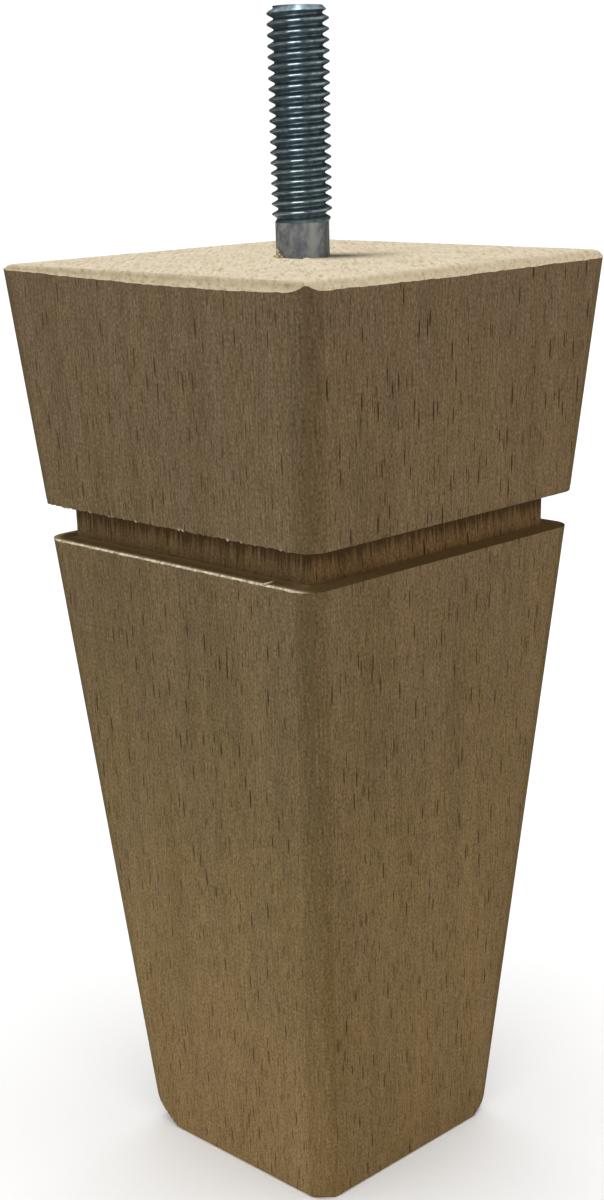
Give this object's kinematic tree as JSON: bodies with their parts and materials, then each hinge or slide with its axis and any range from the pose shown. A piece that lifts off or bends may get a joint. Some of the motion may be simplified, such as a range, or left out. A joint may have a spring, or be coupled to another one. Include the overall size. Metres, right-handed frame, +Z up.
{
  "type": "furniture leg",
  "caption": "Square tapered wooden furniture leg with a groove round its upper part and a threaded hanger bolt standing out of its top.",
  "frame": {"origin": "middle of the foot, on the surface that the leg stands on", "axes": "+Z up along the axis of the leg and its bolt, +X and +Y square to the flat sides"},
  "size_m": [0.0578, 0.0578, 0.16],
  "materials": {
    "beech": "sanded steamed beech with bare end grain on the top",
    "zinc_plated_steel": "bright blue zinc plating"
  },
  "bodies": {
    "root": {"wooden_leg": "beech", "hanger_bolt": "zinc_plated_steel"}
  },
  "joints": []
}
